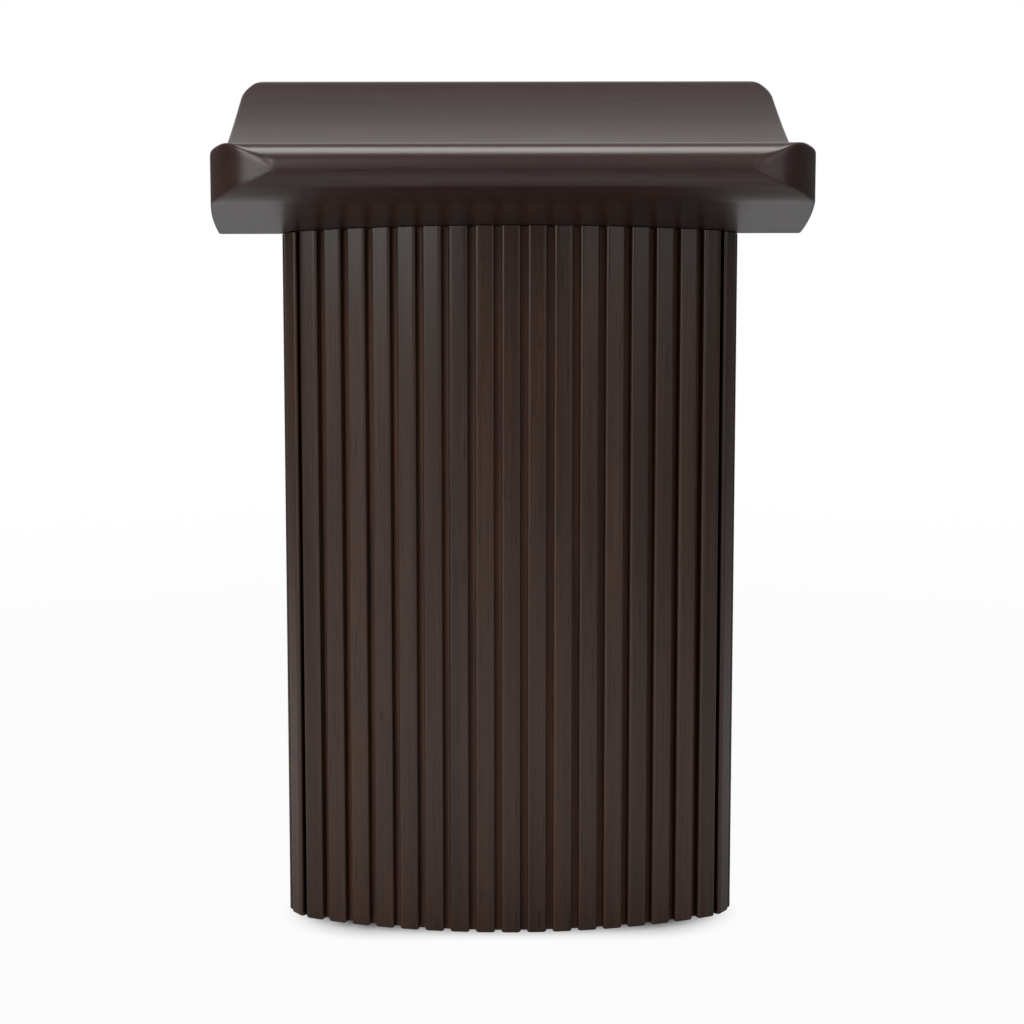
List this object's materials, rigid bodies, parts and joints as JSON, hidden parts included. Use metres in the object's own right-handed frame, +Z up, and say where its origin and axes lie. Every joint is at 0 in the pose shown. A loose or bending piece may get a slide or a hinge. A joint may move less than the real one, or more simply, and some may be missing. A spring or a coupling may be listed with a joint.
{
  "type": "headrest",
  "caption": "Saddle-topped seat block on an oval column clad all round with separate upright slats, in the form of a carved neck rest.",
  "frame": {"origin": "on the floor, under the middle of the column; the floor glides' lower faces are at Z = 0", "axes": "+Z up; +Y along the seat from one raised end to the other, so that an observer in front looks along +Y; +X to the right, along the raised ends"},
  "size_m": [0.32, 0.35, 0.457],
  "materials": {
    "seat_wood": "espresso stain under satin lacquer, grain along X",
    "slat_wood": "espresso stain under satin lacquer, grain upright",
    "shell_wood": "red-brown bent plywood, seen in the grooves",
    "plywood": "bare plywood",
    "core_wood": "bare beech",
    "zinc_steel": "zinc plated",
    "insert_brass": "turned",
    "ballast_paint": "matt black paint",
    "glide_rubber": "matt"
  },
  "bodies": {
    "root": {"seat": "seat_wood", "top_former": "plywood", "middle_former": "plywood", "base_former": "plywood", "front_shell": "shell_wood", "back_shell": "shell_wood", "left_post": "core_wood", "right_post": "core_wood", "left_tie_rod": "zinc_steel", "right_tie_rod": "zinc_steel", "rod_nuts": "zinc_steel", "rod_washers": "zinc_steel", "seat_inserts": "insert_brass", "seat_dowels": "core_wood", "post_screws": "zinc_steel", "ballast_plate": "ballast_paint", "ballast_screws": "zinc_steel", "glides": "glide_rubber", "slat_01": "slat_wood", "slat_02": "slat_wood", "slat_03": "slat_wood", "slat_04": "slat_wood", "slat_05": "slat_wood", "slat_06": "slat_wood", "slat_07": "slat_wood", "slat_08": "slat_wood", "slat_09": "slat_wood", "slat_10": "slat_wood", "slat_11": "slat_wood", "slat_12": "slat_wood", "slat_13": "slat_wood", "slat_14": "slat_wood", "slat_15": "slat_wood", "slat_16": "slat_wood", "slat_17": "slat_wood", "slat_18": "slat_wood", "slat_19": "slat_wood", "slat_20": "slat_wood", "slat_21": "slat_wood", "slat_22": "slat_wood", "slat_23": "slat_wood", "slat_24": "slat_wood", "slat_25": "slat_wood", "slat_26": "slat_wood", "slat_27": "slat_wood", "slat_28": "slat_wood", "slat_29": "slat_wood", "slat_30": "slat_wood", "slat_31": "slat_wood", "slat_32": "slat_wood", "slat_33": "slat_wood", "slat_34": "slat_wood", "slat_35": "slat_wood", "slat_36": "slat_wood", "slat_37": "slat_wood", "slat_38": "slat_wood", "slat_39": "slat_wood", "slat_40": "slat_wood"}
  },
  "joints": []
}
